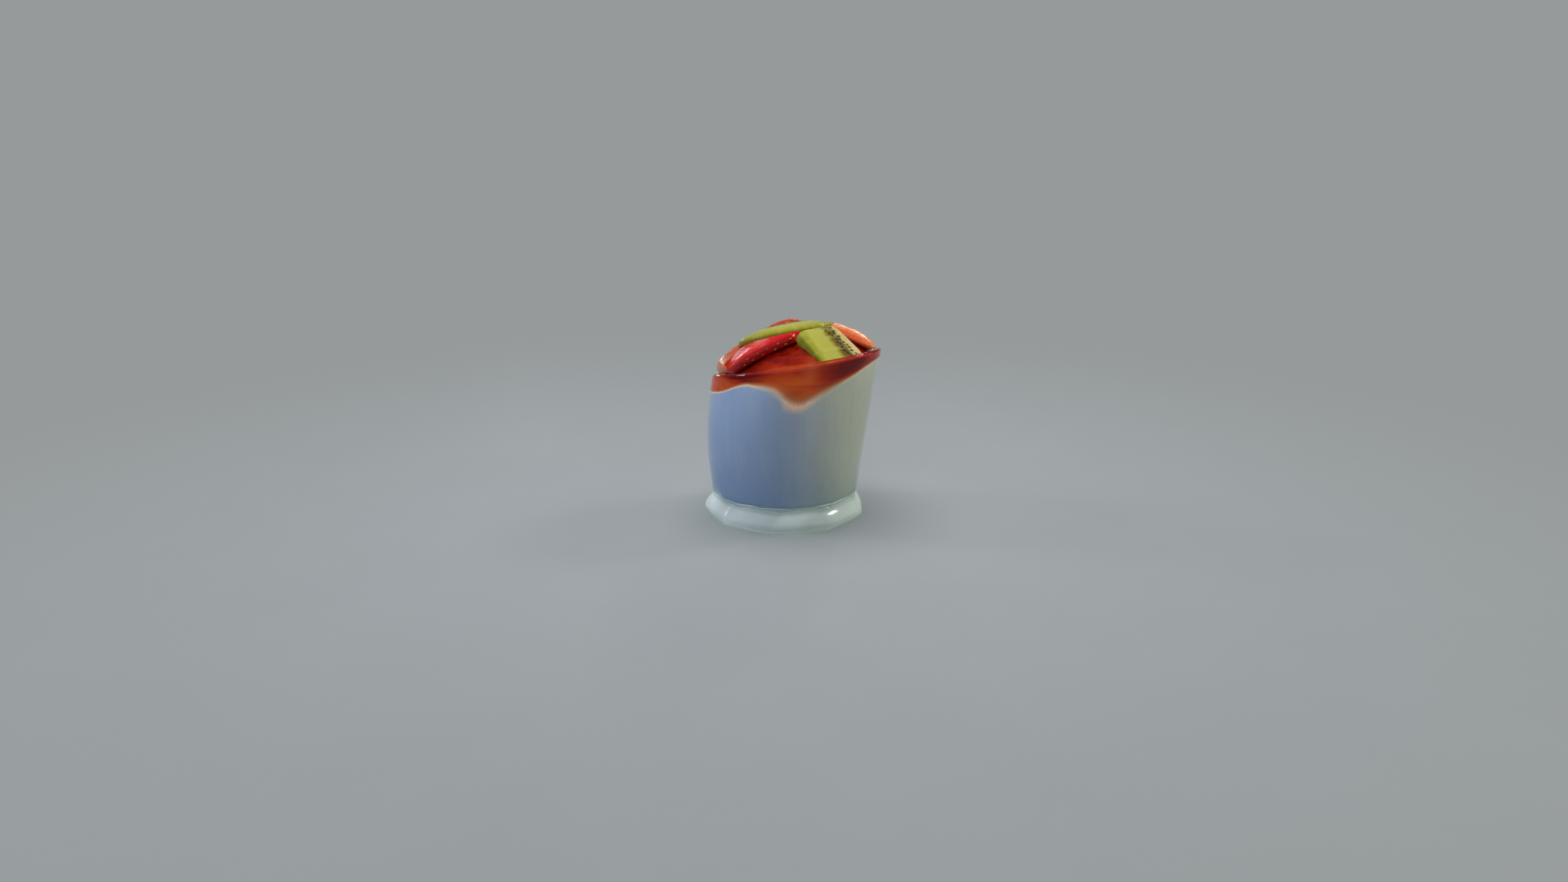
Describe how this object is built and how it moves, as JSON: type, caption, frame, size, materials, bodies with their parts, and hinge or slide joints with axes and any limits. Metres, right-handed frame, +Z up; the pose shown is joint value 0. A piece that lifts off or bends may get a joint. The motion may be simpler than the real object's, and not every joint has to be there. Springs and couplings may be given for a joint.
{
  "type": "panna cotta cup",
  "caption": "Set cream dessert in a leaning glass cup with a fluted foot and a slanted lip, topped with glossy fruit sauce and a heap of sliced kiwi, strawberry and peach.",
  "frame": {"origin": "middle of the foot's flat underside, where the glass stands", "axes": "+Z up, -Y towards the front as pictured, +X to the right, the way the glass leans"},
  "size_m": [0.0645, 0.0596, 0.0725],
  "materials": {
    "glass": "clear thick soda-lime glass, faintly green, polished",
    "panna_cotta": "smooth set cream, softly translucent, satin",
    "fruit_sauce": "thick glossy fruit sauce, orange-red where thin and dark red where deep",
    "kiwi": "wet cut kiwi, pale green flesh with rays and small dark seeds",
    "strawberry": "wet cut strawberry, red with a paler heart and small seeds at the rim",
    "peach": "wet peeled peach flesh, salmon-orange with fine fibres"
  },
  "bodies": {
    "root": {"glass_cup": "glass", "panna_cotta": "panna_cotta", "fruit_sauce": "fruit_sauce", "kiwi_slice": "kiwi", "kiwi_wedge": "kiwi", "strawberry_slice": "strawberry", "strawberry_piece": "strawberry", "peach_slice_left": "peach", "peach_slice_right": "peach"}
  },
  "joints": []
}
